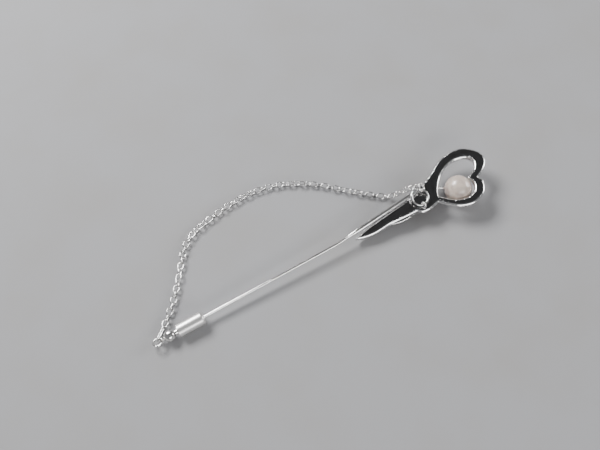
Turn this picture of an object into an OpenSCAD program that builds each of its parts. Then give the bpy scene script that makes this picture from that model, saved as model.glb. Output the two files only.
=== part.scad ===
// Stick pin with an open heart head, a pearl, a safety chain and a ball clutch.
// It lies on its face: +Z is up, +X runs along the needle from the clutch to the head.

/* [Needle] */
// Diameter of the thin shaft
needle_d = 0.7; // [0.68:0.01:0.72]
// Diameter of the thick root
root_d = 1.15; // [0.9:0.05:1.2]
// Length of the root, from the bend to its end
root_length = 22.5; // [20:0.5:23]
// Angle at which the shaft rises towards the head
needle_rise = 1.4; // [1:0.1:2]
// Angle at which the root rises towards the head
root_rise = 5.2; // [5:0.1:5.6]
// Angle by which the root turns aside from the shaft
root_turn = 4; // [3:0.5:5]

/* [Head] */
// Angle at which the head rises towards the heart
head_rise = 6; // [5.5:0.1:6.5]
// Thickness of the back plate
plate_t = 0.5; // [0.4:0.05:0.6]
// Depth of the front shell under the plate
shell_t = 1.55; // [1.3:0.05:1.6]
// Diameter of the pearl
pearl_d = 6.4; // [6:0.1:6.5]
// Diameter of the pearl's post
post_d = 0.56; // [0.5:0.02:0.6]

/* [Chain] */
// Distance from one link to the next
chain_pitch = 1.35; // [1.34:0.01:1.36]
// Wire diameter of a link
chain_wire = 0.27; // [0.24:0.01:0.28]
// Width of a link
link_w = 1.5; // [1.4:0.05:1.6]
// Distance between the ends of the long end link, inside
end_link_reach = 3.3; // [3.25:0.05:3.35]

/* [Clutch] */
// Outer diameter of the barrel
barrel_d = 3; // [2.9:0.05:3.1]
// Length of the barrel
barrel_length = 6.2; // [6.2:0.1:6.4]
// Diameter of the pull knob
knob_d = 2.7; // [2.5:0.05:2.8]
// Diameter of a gripping ball
ball_d = 0.58; // [0.54:0.01:0.58]

/* [Hidden] */
$fn = 48;

silver = [0.82, 0.82, 0.84];
dark_silver = [0.55, 0.56, 0.58];
bright_silver = [0.92, 0.92, 0.94];
pearl_white = [0.93, 0.9, 0.87];

// ---- Needle ----
bend_at = [2, -7.8, 2.51];
shaft_length = 32.4;
ground_length = 6;
ground_d = 0.66;
point_length = 1.4;
tip_d = 0.08;
root_chamfer = 0.3;
taper_start = 2;
taper_end = 6.5;

// ---- Head: the outline's points, measured from the tail's tip ----
tip_at = [6.5, -8.6, 2.1];
span_steps = 6;
lower_scallop_1 = [[0, 0], [1.8, -0.7], [4.6, -1.15], [8.4, -1]];
lower_scallop_2 = [[8.4, -1], [10.8, -1.3], [13.4, -1.5], [15.6, -1.6]];
lower_scallop_2_out = [[8.4, -1], [10.8, -1.75], [13.4, -1.95], [15.6, -1.6]];
lower_scallop_3 = [[15.6, -1.6], [16.6, -2.5], [18.4, -2.75], [20.9, -2.3]];
lower_lobe = [
  [20.9, -2.3], [22.6, -4.1], [24.8, -5.9], [27.9, -6.8], [31, -5.8], [32.6, -3.4], [32.3, -1.9]
];
upper_lobe = [
  [32.3, -1.9], [34.2, -1], [36, 0.5], [36.5, 2.6], [35.3, 4.8], [32.8, 6.6], [29.4, 6.9],
  [26.2, 6.1], [23.4, 4.5], [20.6, 3.5], [18.2, 3.1], [13.4, 2.35], [8.4, 1.7], [3.4, 0.95], [0, 0]
];
hole_lower = [
  [30, -0.8], [30.5, -2.5], [29.5, -4.2], [27.4, -4.85], [24.8, -3.95], [22.9, -2.3], [21.8, -1.2]
];
hole_upper = [
  [21.8, -1.2], [22.6, 0.3], [24.7, 2.6], [27.4, 4.1], [30.2, 4.6], [32.8, 3.8], [33.7, 2.2],
  [32.6, 0.3], [30, -0.8]
];
shell_seam = 0.005;

// ---- Solder seat on the plate ----
solder_at = [16.5, 2, shell_seam];
solder_r = 0.8;
solder_top_r = 0.55;
solder_h = 0.45;

// ---- Pearl ----
pearl_at = [33.75, -10.05, pearl_d / 2];
pearl_relief = 0.2;
post_heading = 146;
post_reach = 4.8;
post_depth = 1.6;
post_play = 0.02;

// ---- Rings at the neck ----
eyelet_r = 0.62;
eyelet_wire = 0.36;
eyelet_at = [17.58, -1.35, 0.5];
neck_ring_at = [24, -8, 4.9];
neck_ring_r = 1.95;
neck_ring_wire = 0.48;
neck_ring_tilt = 14.3;
chain_ring_at = [25.54, -6.22, 5.28];
chain_ring_r = 0.975;
chain_ring_wire = 0.35;

// ---- Chain: link number, heading and slope where the chain bends ----
links_per_stretch = 5;
stretches = 12;
chain_links = links_per_stretch * stretches;
chain_start = [25.24, -5.81, 6];
link_gap = 0.02;
link_l = chain_pitch + 2 * chain_wire + link_gap;
headings = [
  [0, 158], [3, 153], [6, 142], [12, 138], [15, 136], [18, 139], [23, 154], [27, 166], [33, 185],
  [38, 192], [41, 194], [44, 214], [47, 235], [52, 235], [60, 221]
];
slopes = [[0, -18], [1, -35], [3, -48], [5, -36], [6, -18], [7, 0], [59, 0], [60, 4]];
roll_wobble = 20;
wobble_step = 37;

function heading(i) = lookup(i, headings);
function slope(i) = lookup(i, slopes);
function way(i) = [cos(heading(i)) * cos(slope(i)), sin(heading(i)) * cos(slope(i)), sin(slope(i))];
chain_joints = [
  for (i = 0, p = chain_start; i <= chain_links; p = p + chain_pitch * way(i), i = i + 1) p
];

// ---- Clutch: places along its own axis, from the nose at 0 back to the knob ----
nose_from_bend = 33.2;
barrel_bore_r = 1.3;
nose_t = 0.35;
nose_round = 0.7;
nose_hole_r = 0.45;
rim_chamfer = 0.08;
sleeve_end = -3;
sleeve_play = 0.04;
nose_gap = 0.03;
cone_r = 0.75;
cone_slope = 0.151;
grip_gap = 0.01;
seat_gap = 0.01;
ball_play = 0.04;
cage_bore_r = 0.4;
cage_r = 0.6;
cage_front = -1;
stem_r = 0.62;
stem_end = -7.3;
flange_front = -3.4;
flange_t = 0.4;
flange_r = 1.2;
cap_t = 0.4;
cap_hole_r = 0.7;
coil_gap = 0.02;
spring_wire = 0.2;
spring_r = 0.96;
spring_turns = 4;
knob_x = -8.05;
groove_r = 0.13;
groove_angle = 11;
groove_edge = 20;
knob_seat = 0.05;
eye_r = 0.56;
eye_wire = 0.38;
eye_reach = 0.42;
eye_x = knob_x - knob_d / 2 - eye_reach;
clutch_ring_r = 1;
clutch_ring_wire = 0.4;
clutch_ring_reach = 1.12;
clutch_ring_x = eye_x - clutch_ring_reach;
clutch_ring_drop = 0.05;
clutch_ring_tilt = -25;
ball_orbit = needle_d / 2 + grip_gap + ball_d / 2;
cone_at_ball = ball_orbit + (ball_d / 2 + grip_gap) / cos(atan(cone_slope)) + grip_gap / 2;
sleeve_front = -nose_t - nose_gap;
ball_x = sleeve_front - (cone_at_ball - cone_r) / cone_slope;

// A smooth curve through points, without its last point
function curve_at(a, b, c, d, t) =
  0.5 * (2 * b + (c - a) * t + (2 * a - 5 * b + 4 * c - d) * t * t + (3 * b - a - 3 * c + d) * t * t * t);
function curve(p) = [
  for (i = [0 : len(p) - 2]) for (j = [0 : span_steps - 1])
    curve_at(p[max(i - 1, 0)], p[i], p[i + 1], p[min(i + 2, len(p) - 1)], j / span_steps)
];

// Points along an arc
function arc(centre, r, first, last, steps) = [
  for (k = [0 : steps]) let (a = first + (last - first) * k / steps) centre + r * [cos(a), sin(a)]
];

module ring(r, wire) {
  rotate_extrude() translate([r, 0]) circle(d = wire, $fn = 24);
}

// One link along X: two round ends and two straight sides
module link(length, width, wire) {
  bend_r = (width - wire) / 2;
  straight = length - width;
  for (side = [-1, 1])
    translate([side * straight / 2, 0, 0])
      rotate([0, 0, side == 1 ? -90 : 90])
        rotate_extrude(angle = 180) translate([bend_r, 0]) circle(d = wire, $fn = 24);
  for (side = [-1, 1])
    translate([-straight / 2, side * bend_r, 0])
      rotate([0, 90, 0])
        cylinder(d = wire, h = straight, $fn = 24);
}

module at_head() {
  translate(tip_at) rotate([0, -head_rise, 0]) children();
}

module at_clutch() {
  translate(bend_at) rotate([0, -needle_rise, 0]) translate([-nose_from_bend, 0, 0]) children();
}

// Turns a profile of [radius, place] about the clutch's axis
module turned(profile) {
  rotate([0, 90, 0]) rotate_extrude() polygon(profile);
}

module heart_outline(scallop_2) {
  difference() {
    polygon(concat(
      curve(lower_scallop_1), curve(scallop_2), curve(lower_scallop_3), curve(lower_lobe), curve(upper_lobe)
    ));
    polygon(concat(curve(hole_upper), curve(hole_lower)));
  }
}

module pearl_room() {
  translate(pearl_at) sphere(r = pearl_d / 2 + pearl_relief, $fn = 64);
}

module post_solid(d) {
  translate(pearl_at)
    rotate([0, 0, post_heading])
      rotate([0, 90, 0])
        translate([0, 0, post_depth])
          cylinder(d = d, h = post_reach - post_depth);
}

module front_shell() {
  color(dark_silver)
    difference() {
      at_head()
        translate([0, 0, -plate_t - shell_t])
          linear_extrude(shell_t - shell_seam) heart_outline(lower_scallop_2_out);
      pearl_room();
      post_solid(post_d + 2 * post_play);
    }
}

module back_plate() {
  color(silver)
    difference() {
      at_head()
        translate([0, 0, -plate_t])
          linear_extrude(plate_t) heart_outline(lower_scallop_2);
      pearl_room();
    }
}

module pearl() {
  color(pearl_white)
    difference() {
      translate(pearl_at) sphere(d = pearl_d, $fn = 64);
      post_solid(post_d + 2 * post_play);
    }
}

module pearl_post() {
  color(silver) post_solid(post_d);
}

module needle() {
  color(bright_silver)
    translate(bend_at) {
      rotate([0, -90 - needle_rise, 0]) {
        cylinder(d = needle_d, h = shaft_length);
        translate([0, 0, shaft_length])
          cylinder(d1 = needle_d, d2 = ground_d, h = ground_length);
        translate([0, 0, shaft_length + ground_length])
          cylinder(d1 = ground_d, d2 = tip_d, h = point_length);
      }
      sphere(d = needle_d);
      rotate([0, 90 - root_rise, root_turn]) {
        cylinder(d = needle_d, h = taper_start);
        translate([0, 0, taper_start])
          cylinder(d1 = needle_d, d2 = root_d, h = taper_end - taper_start);
        translate([0, 0, taper_end])
          cylinder(d = root_d, h = root_length - taper_end - root_chamfer);
        translate([0, 0, root_length - root_chamfer])
          cylinder(d1 = root_d, d2 = root_d - root_chamfer, h = root_chamfer);
      }
    }
}

// Solder between the plate and the root's end, hollowed where the root lies in it
module needle_solder() {
  color(silver)
    difference() {
      at_head()
        translate(solder_at)
          cylinder(r1 = solder_r, r2 = solder_top_r, h = solder_h);
      translate(bend_at)
        rotate([0, 90 - root_rise, root_turn])
          cylinder(d = root_d + seat_gap, h = 2 * root_length);
    }
}

module chain_eyelet() {
  color(silver)
    intersection() {
      at_head() translate(eyelet_at) rotate([0, 90, 0]) ring(eyelet_r, eyelet_wire);
      at_head() translate([eyelet_at[0] - 1, eyelet_at[1] - 1, shell_seam]) cube(2);
    }
}

module neck_ring() {
  color(bright_silver)
    translate(neck_ring_at) rotate([neck_ring_tilt, 0, 0]) ring(neck_ring_r, neck_ring_wire);
}

module chain_ring() {
  color(bright_silver)
    translate(chain_ring_at) rotate([0, 0, 45]) rotate([45, 0, 0]) ring(chain_ring_r, chain_ring_wire);
}

// Link number i of the chain, in its place
module chain_link(i) {
  roll = 90 * ((i + 1) % 2) + roll_wobble * sin(wobble_step * i);
  translate(chain_joints[i] + chain_pitch / 2 * way(i))
    rotate([0, -slope(i), heading(i)])
      rotate([roll, 0, 0])
        link(link_l, link_w, chain_wire);
}

module chain_stretch(number) {
  color(bright_silver)
    for (i = [0 : links_per_stretch - 1])
      chain_link((number - 1) * links_per_stretch + i);
}

module end_link() {
  color(bright_silver)
    translate(chain_joints[chain_links] + end_link_reach / 2 * way(chain_links))
      rotate([0, -slope(chain_links), heading(chain_links)])
        rotate([90, 0, 0])
          link(end_link_reach + 2 * chain_wire + link_gap, link_w, chain_wire);
}

module barrel() {
  color(silver)
    at_clutch()
      turned(concat(
        [[nose_hole_r, 0]],
        arc([barrel_d / 2 - nose_round, -nose_round], nose_round, 90, 0, 9),
        [
          [barrel_d / 2, -barrel_length + rim_chamfer], [barrel_d / 2 - rim_chamfer, -barrel_length],
          [barrel_bore_r, -barrel_length], [barrel_bore_r, -nose_t], [nose_hole_r, -nose_t]
        ]
      ));
}

module end_cap() {
  color(silver)
    at_clutch()
      turned([
        [cap_hole_r, -barrel_length], [barrel_bore_r - seat_gap, -barrel_length],
        [barrel_bore_r - seat_gap, -barrel_length + cap_t], [cap_hole_r, -barrel_length + cap_t]
      ]);
}

module wedge_sleeve() {
  color(dark_silver)
    at_clutch()
      turned([
        [cone_r, sleeve_front], [barrel_bore_r - sleeve_play, sleeve_front],
        [barrel_bore_r - sleeve_play, sleeve_end],
        [cone_r + cone_slope * (sleeve_front - sleeve_end), sleeve_end]
      ]);
}

module at_balls() {
  for (angle = [90, 210, 330])
    at_clutch() translate([ball_x, 0, 0]) rotate([angle, 0, 0]) children();
}

module ball_cage() {
  color(silver)
    difference() {
      at_clutch()
        turned([
          [cage_bore_r, cage_front], [cage_r, cage_front], [cage_r, flange_front],
          [flange_r, flange_front], [flange_r, flange_front - flange_t],
          [stem_r, flange_front - flange_t], [stem_r, stem_end], [cage_bore_r, stem_end]
        ]);
      at_balls() cylinder(d = ball_d + ball_play, h = cage_r + ball_d, $fn = 24);
    }
}

module gripping_balls() {
  color(bright_silver)
    at_balls() translate([0, 0, ball_orbit]) sphere(d = ball_d, $fn = 24);
}

// Wire coiled about X, from place x1 down to x2
module coil(r, wire, turns, x1, x2) {
  steps = 16;
  sides = 8;
  rings = turns * steps;
  points = [
    for (k = [0 : rings]) for (s = [0 : sides - 1])
      let (
        a = 360 * k / steps,
        b = 360 * s / sides,
        reach = r + wire / 2 * cos(b)
      ) [x1 + (x2 - x1) * k / rings + wire / 2 * sin(b), reach * cos(a), reach * sin(a)]
  ];
  walls = [
    for (k = [0 : rings - 1]) for (s = [0 : sides - 1])
      let (n = (s + 1) % sides)
        [k * sides + s, (k + 1) * sides + s, (k + 1) * sides + n, k * sides + n]
  ];
  first = [for (s = [0 : sides - 1]) s];
  last = [for (s = [sides - 1 : -1 : 0]) rings * sides + s];
  polyhedron(points, concat(walls, [first], [last]));
}

module clutch_spring() {
  color(dark_silver)
    at_clutch()
      coil(
        spring_r, spring_wire, spring_turns,
        flange_front - flange_t - spring_wire / 2 - coil_gap,
        -barrel_length + cap_t + spring_wire / 2 + coil_gap
      );
}

// A ball with a groove round it and a socket for the stem
module pull_knob() {
  knob_r = knob_d / 2;
  middle = [0, knob_x];
  groove_at = middle + knob_r * [cos(groove_angle), sin(groove_angle)];
  groove_half = 2 * asin(groove_r / knob_d);
  socket_r = stem_r + seat_gap;
  socket_x = stem_end - knob_seat;
  color(bright_silver)
    at_clutch()
      turned(concat(
        arc(middle, knob_r, -90, groove_angle - groove_half, 16),
        arc(groove_at, groove_r, groove_angle - 90 - groove_edge, groove_angle - 270 + groove_edge, 8),
        arc(middle, knob_r, groove_angle + groove_half, acos(socket_r / knob_r), 8),
        [[socket_r, socket_x], [0, socket_x]]
      ));
}

module knob_eyelet() {
  color(bright_silver)
    at_clutch()
      difference() {
        translate([eye_x, 0, 0]) rotate([90, 0, 0]) ring(eye_r, eye_wire);
        translate([knob_x, 0, 0]) sphere(d = knob_d + seat_gap);
      }
}

module clutch_ring() {
  color(bright_silver)
    at_clutch()
      translate([clutch_ring_x, 0, -clutch_ring_drop])
        rotate([clutch_ring_tilt, 0, 0])
          ring(clutch_ring_r, clutch_ring_wire);
}

front_shell();
back_plate();
pearl();
pearl_post();
needle();
needle_solder();
chain_eyelet();
neck_ring();
chain_ring();
chain_stretch(1);  // chain_stretch_01
chain_stretch(2);  // chain_stretch_02
chain_stretch(3);  // chain_stretch_03
chain_stretch(4);  // chain_stretch_04
chain_stretch(5);  // chain_stretch_05
chain_stretch(6);  // chain_stretch_06
chain_stretch(7);  // chain_stretch_07
chain_stretch(8);  // chain_stretch_08
chain_stretch(9);  // chain_stretch_09
chain_stretch(10);  // chain_stretch_10
chain_stretch(11);  // chain_stretch_11
chain_stretch(12);  // chain_stretch_12
end_link();
barrel();
end_cap();
wedge_sleeve();
ball_cage();
gripping_balls();
clutch_spring();
pull_knob();
knob_eyelet();
clutch_ring();
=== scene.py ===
import math

import bmesh
import bpy
import numpy as np
from bpy.props import FloatProperty, FloatVectorProperty, PointerProperty
from mathutils import Matrix, Vector, noise
from mathutils.geometry import interpolate_bezier
from mathutils.kdtree import KDTree


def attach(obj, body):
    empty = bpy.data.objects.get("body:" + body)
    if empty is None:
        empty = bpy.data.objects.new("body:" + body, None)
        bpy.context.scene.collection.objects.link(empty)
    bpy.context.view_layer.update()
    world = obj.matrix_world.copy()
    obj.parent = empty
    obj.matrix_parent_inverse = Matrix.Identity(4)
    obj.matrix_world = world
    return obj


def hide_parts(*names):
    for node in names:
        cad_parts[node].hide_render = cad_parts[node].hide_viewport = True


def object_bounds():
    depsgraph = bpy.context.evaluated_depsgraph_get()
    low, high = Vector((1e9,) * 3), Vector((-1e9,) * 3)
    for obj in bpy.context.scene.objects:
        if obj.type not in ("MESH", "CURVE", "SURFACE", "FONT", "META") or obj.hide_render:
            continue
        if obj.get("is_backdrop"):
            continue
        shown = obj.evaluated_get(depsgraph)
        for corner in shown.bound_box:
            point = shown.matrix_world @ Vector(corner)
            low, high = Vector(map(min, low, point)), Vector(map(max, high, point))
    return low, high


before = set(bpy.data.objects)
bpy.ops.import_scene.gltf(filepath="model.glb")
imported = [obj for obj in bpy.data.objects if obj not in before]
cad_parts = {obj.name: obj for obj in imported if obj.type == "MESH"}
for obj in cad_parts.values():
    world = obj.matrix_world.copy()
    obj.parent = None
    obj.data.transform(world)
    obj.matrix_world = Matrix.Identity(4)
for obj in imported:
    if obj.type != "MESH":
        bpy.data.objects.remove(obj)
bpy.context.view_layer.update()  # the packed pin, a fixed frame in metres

bl_info = {
    "name": "Stick Pin with Pearl",
    "version": (1, 0, 0),
    "blender": (4, 5, 0),
    "location": "View3D > Sidebar > Stick Pin",
    "description": "Builds the finished pieces of a stick pin with a pearl, a safety chain and a ball clutch",
    "category": "Add Mesh",
}

MM = 0.001
FULL_TURN = 2 * math.pi
FLAT = Vector((1, 1, 0))

# ---- Places in the frame, in millimetres ----
BEND_AT = Vector((2, -7.8, 2.51))
TIP_AT = Vector((6.5, -8.6, 2.1))
PEARL_AT = Vector((33.75, -10.05, 3.2))
NECK_RING_AT = Vector((24, -8, 4.9))
CHAIN_RING_AT = Vector((25.54, -6.22, 5.28))
EYELET_AT = Vector((17.58, -1.35, 0.5))
SOLDER_AT = Vector((16.5, 2, 0))
CHAIN_START = Vector((25.24, -5.81, 6))
NOSE_FROM_BEND = 33.2

# ---- Angles of the pieces and the camera, in radians, and the camera's distance ----
SHAFT_RISE = math.radians(1.4)
ROOT_RISE = math.radians(5.2)
ROOT_TURN = math.radians(4)
NECK_RING_TILT = math.radians(14.3)
CLUTCH_RING_TILT = math.radians(-25)
CAMERA_HEADING = math.radians(30)
CAMERA_TILT = math.radians(64)
CAMERA_DISTANCE = 144
SHARP_EDGE = math.radians(50)

# ---- The colour sockets of a Mix node ----
MIX_A, MIX_B, MIX_RESULT = 6, 7, 2

# ---- The head's outline, measured from the tail's tip ----
SCALLOP_1 = ((0, 0), (1.8, -0.7), (4.6, -1.15), (8.4, -1))
SCALLOP_2_PLATE = ((8.4, -1), (10.8, -1.3), (13.4, -1.5), (15.6, -1.6))
SCALLOP_2_SHELL = ((8.4, -1), (10.8, -1.75), (13.4, -1.95), (15.6, -1.6))
SCALLOP_3 = ((15.6, -1.6), (16.6, -2.5), (18.4, -2.75), (20.9, -2.3))
LOWER_LOBE = (
    (20.9, -2.3), (22.6, -4.1), (24.8, -5.9), (27.9, -6.8), (31, -5.8), (32.6, -3.4), (32.3, -1.9)
)
UPPER_LOBE = (
    (32.3, -1.9), (34.2, -1), (36, 0.5), (36.5, 2.6), (35.3, 4.8), (32.8, 6.6), (29.4, 6.9),
    (26.2, 6.1), (23.4, 4.5), (20.6, 3.5), (18.2, 3.1), (13.4, 2.35), (8.4, 1.7), (3.4, 0.95), (0, 0)
)
HOLE_UPPER = (
    (21.8, -1.2), (22.6, 0.3), (24.7, 2.6), (27.4, 4.1), (30.2, 4.6), (32.8, 3.8), (33.7, 2.2),
    (32.6, 0.3), (30, -0.8)
)
HOLE_LOWER = (
    (30, -0.8), (30.5, -2.5), (29.5, -4.2), (27.4, -4.85), (24.8, -3.95), (22.9, -2.3), (21.8, -1.2)
)
FEATHER_GROOVES = (
    ((8.4, -1), (13.2, 0.5), (19.4, 1.9)),
    ((15.6, -1.6), (18.2, -0.8), (21.2, 0.9)),
)

# ---- The chain: link number, heading and slope where it bends ----
LINKS_PER_STRETCH = 5
STRETCHES = 12
HEADINGS = (
    (0, 158), (3, 153), (6, 142), (12, 138), (15, 136), (18, 139), (23, 154), (27, 166), (33, 185),
    (38, 192), (41, 194), (44, 214), (47, 235), (52, 235), (60, 221)
)
SLOPES = ((0, -18), (1, -35), (3, -48), (5, -36), (6, -18), (7, 0), (59, 0), (60, 4))


# ======== Sizes and colours that a user may change ========

def length(name, description, default_mm):
    """A length property whose default is given in millimetres."""
    return FloatProperty(
        name=name, description=description, default=default_mm * MM, min=0, unit="LENGTH", precision=5
    )


def angle(name, description, degrees):
    """An angle property whose default is given in degrees."""
    return FloatProperty(
        name=name, description=description, default=math.radians(degrees), subtype="ANGLE"
    )


def tint(name, description, default):
    """A colour property."""
    return FloatVectorProperty(
        name=name, description=description, default=default, size=4, min=0, max=1, subtype="COLOR"
    )


class HeadSizes(bpy.types.PropertyGroup):
    """Sizes of the heart, its tail and the pearl."""

    rise: angle("Rise", "Angle at which the head rises towards the heart", 6)
    plate_t: length("Back Plate", "Thickness of the back plate", 0.5)
    shell_t: length("Front Shell", "Depth of the front shell under the plate", 1.55)
    edge_w: length("Rim Width", "Width over which the plate's polished rim curves down", 0.42)
    edge_h: length("Rim Drop", "Height by which the plate's polished rim curves down", 0.26)
    dome_w: length("Dome Width", "Distance over which the front curves down to its rim", 1.25)
    pearl_d: length("Pearl", "Diameter of the pearl", 6.4)
    post_d: length("Peg", "Diameter of the pearl's peg", 0.56)


class WireSizes(bpy.types.PropertyGroup):
    """Sizes of the needle, the rings and the chain."""

    needle_d: length("Needle", "Diameter of the thin shaft", 0.7)
    root_d: length("Root", "Diameter of the thick root", 1.15)
    neck_wire: length("Neck Ring Wire", "Wire diameter of the large jump ring", 0.48)
    neck_r: length("Neck Ring Radius", "Radius of the large jump ring to the middle of its wire", 1.95)
    small_wire: length("Small Ring Wire", "Wire diameter of the small jump ring", 0.35)
    small_r: length("Small Ring Radius", "Radius of the small jump ring to the middle of its wire", 0.975)
    chain_wire: length("Chain Wire", "Wire diameter of a link", 0.27)
    chain_pitch: length("Chain Pitch", "Distance from one link to the next", 1.35)
    link_w: length("Link Width", "Width of a link", 1.5)
    end_reach: length("End Link", "Length of the long end link, inside", 3.3)


class ClutchSizes(bpy.types.PropertyGroup):
    """Sizes of the clutch."""

    barrel_d: length("Barrel", "Outer diameter of the barrel", 3)
    barrel_length: length("Barrel Length", "Length of the barrel", 6.2)
    bore_r: length("Barrel Bore", "Inner radius of the barrel", 1.3)
    stem_r: length("Stem", "Radius of the stem that holds the knob", 0.62)
    knob_d: length("Knob", "Diameter of the pull knob", 2.7)
    eye_wire: length("Eye Wire", "Wire diameter of the knob's eye", 0.38)
    ring_wire: length("Ring Wire", "Wire diameter of the clutch's jump ring", 0.4)
    ring_r: length("Ring Radius", "Radius of the clutch's jump ring to the middle of its wire", 1)


class FinishColours(bpy.types.PropertyGroup):
    """Colours of the metals, the pearl and the table."""

    bright: tint("Bright Silver", "Polished silver of the wires and rims", (0.93, 0.925, 0.92, 1))
    # Mirror Back is a painted dark reflection: a dark colour in place of the dark surroundings that the
    # head's polished silver back mirrors.
    painted_dark_reflection: tint("Mirror Back", "Polished back of the head", (0.4, 0.4, 0.405, 1))
    satin: tint("Satin Silver", "Brushed silver of the barrel", (0.82, 0.79, 0.765, 1))
    steel: tint("Steel", "Hardened pieces inside the clutch", (0.55, 0.56, 0.57, 1))
    nacre: tint("Pearl", "Body colour of the pearl", (0.68, 0.6, 0.53, 1))
    overtone: tint("Pearl Overtone", "Colour that drifts over the pearl", (0.42, 0.33, 0.31, 1))
    table: tint("Table", "The plain floor", (0.4, 0.4, 0.41, 1))


GROUPS = {
    "pin_head": HeadSizes, "pin_wire": WireSizes, "pin_clutch": ClutchSizes, "pin_finish": FinishColours
}


# ======== Shapes ========

def head_place(scene):
    """Where the head lies: the origin at the tail's tip, the plate's back on z = 0."""
    return Matrix.Translation(TIP_AT * MM) @ Matrix.Rotation(-scene.pin_head.rise, 4, "Y")


def needle_turn():
    """The turn that lays +X along the needle's shaft, towards the head."""
    return Matrix.Rotation(-SHAFT_RISE, 4, "Y")


def clutch_place():
    """Where the clutch lies: the origin at the barrel's nose, +X towards the head."""
    at_bend = Matrix.Translation(BEND_AT * MM) @ needle_turn()
    return at_bend @ Matrix.Translation((-NOSE_FROM_BEND * MM, 0, 0))


def smooth_line(points, steps):
    """Points along a smooth curve through the given ones, in metres, without the last."""
    knots = [Vector((*p, 0)) * MM for p in points]
    line = []
    for i in range(len(knots) - 1):
        before = knots[max(i - 1, 0)]
        start, end = knots[i], knots[i + 1]
        after = knots[min(i + 2, len(knots) - 1)]
        handles = start + (end - before) / 6, end - (after - start) / 6
        line += interpolate_bezier(start, *handles, end, steps + 1)[:-1]
    return line


def arc(centre, middle, radius, start, end, steps):
    """Points of (along, out) on an arc in a profile; angles in degrees, 0 along and 90 outwards."""
    angles = [math.radians(start + (end - start) * k / steps) for k in range(steps + 1)]
    return [(centre + radius * math.cos(a), middle + radius * math.sin(a)) for a in angles]


def turned(bm, profile, steps, closed=True):
    """Spins a profile of (along, out) in millimetres round the X axis; an open one ends on the axis."""
    verts = [bm.verts.new((x * MM, 0, r * MM)) for x, r in profile]
    pairs = list(zip(verts, verts[1:]))
    if closed:
        pairs.append((verts[-1], verts[0]))
    edges = [bm.edges.new(pair) for pair in pairs]
    bmesh.ops.spin(
        bm, geom=verts + edges, cent=(0, 0, 0), axis=(1, 0, 0), angle=FULL_TURN, steps=steps, use_merge=True
    )
    bmesh.ops.remove_doubles(bm, verts=bm.verts, dist=1e-7)
    bmesh.ops.dissolve_degenerate(bm, dist=1e-8, edges=bm.edges)


def soften(bm, width, segments, sharper_than=35):
    """Rounds every edge that is sharper than the given angle in degrees."""
    limit = math.radians(sharper_than)
    edges = [e for e in bm.edges if e.is_manifold and e.calc_face_angle() > limit]
    bmesh.ops.bevel(
        bm, geom=edges, offset=width, offset_type="OFFSET", segments=segments, profile=0.5,
        affect="EDGES", material=-1, clamp_overlap=True,
    )


def wire_arc(bm, radius, wire, start, sweep, steps, sides=20):
    """A round wire bent about the Z axis from the angle start, in radians; a part turn gets end caps."""
    whole = abs(sweep) > FULL_TURN - 1e-6
    turn = Matrix.Rotation(start, 4, "Z") @ Matrix.Translation((radius, 0, 0))
    turn = turn @ Matrix.Rotation(math.pi / 2, 4, "X")
    section = bmesh.ops.create_circle(bm, cap_ends=not whole, segments=sides, radius=wire / 2, matrix=turn)
    verts = section["verts"]
    cap = list({f for v in verts for f in v.link_faces})
    edges = list({e for v in verts for e in v.link_edges if e.other_vert(v) in verts})
    if whole:
        bmesh.ops.spin(
            bm, geom=verts + edges, cent=(0, 0, 0), axis=(0, 0, 1), angle=FULL_TURN, steps=steps,
            use_merge=True,
        )
        return
    bmesh.ops.spin(bm, geom=verts + edges + cap, cent=(0, 0, 0), axis=(0, 0, 1), angle=sweep, steps=steps)


def jump_ring(bm, radius, wire, seam, steps=72):
    """A ring of round wire whose two cut ends meet at the angle seam, in degrees."""
    gap = 0.05 * MM / radius
    wire_arc(bm, radius, wire, math.radians(seam) + gap / 2, FULL_TURN - gap, steps)
    soften(bm, 0.025 * MM, 2, 60)


def wire_link(bm, length_, width, wire, sides=10, steps=9):
    """One link along X: two round ends and two straight sides."""
    bend_r = (width - wire) / 2
    straight = length_ - width
    turn = Matrix.Translation((straight / 2, -bend_r, 0)) @ Matrix.Rotation(math.pi / 2, 4, "Y")
    section = bmesh.ops.create_circle(bm, cap_ends=False, segments=sides, radius=wire / 2, matrix=turn)
    geom = section["verts"] + list({e for v in section["verts"] for e in v.link_edges})
    for side in (1, -1):
        bent = bmesh.ops.spin(
            bm, geom=geom, cent=(side * straight / 2, 0, 0), axis=(0, 0, 1), angle=math.pi, steps=steps
        )
        drawn = bmesh.ops.extrude_edge_only(
            bm, edges=[g for g in bent["geom_last"] if isinstance(g, bmesh.types.BMEdge)]
        )
        geom = [g for g in drawn["geom"] if not isinstance(g, bmesh.types.BMFace)]
        ends = [g for g in geom if isinstance(g, bmesh.types.BMVert)]
        bmesh.ops.translate(bm, vec=(-side * straight, 0, 0), verts=ends)
    bmesh.ops.remove_doubles(bm, verts=bm.verts, dist=1e-6)


def wire_run(bm, stations, sides=28):
    """A drawn wire through stations of (place, direction, radius), closed at both ends."""
    loops = []
    for place, way, radius in stations:
        turn = Matrix.Translation(place) @ way.to_track_quat("Z", "Y").to_matrix().to_4x4()
        ring = bmesh.ops.create_circle(bm, cap_ends=False, segments=sides, radius=radius, matrix=turn)
        verts = ring["verts"]
        loops.append(list({e for v in verts for e in v.link_edges}))
    for here, there in zip(loops, loops[1:]):
        bmesh.ops.bridge_loops(bm, edges=here + there)
    for end in (loops[0], loops[-1]):
        bmesh.ops.edgeloop_fill(bm, edges=end)


def raised(bm, faces, height):
    """Extrudes a flat region along Z, keeps it as the other side, and returns the new side's faces."""
    made = bmesh.ops.extrude_face_region(bm, geom=faces, use_keep_orig=True)["geom"]
    moved = [g for g in made if isinstance(g, bmesh.types.BMVert)]
    bmesh.ops.translate(bm, vec=(0, 0, height), verts=moved)
    return [g for g in made if isinstance(g, bmesh.types.BMFace)]


# ======== Finishes ========

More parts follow.
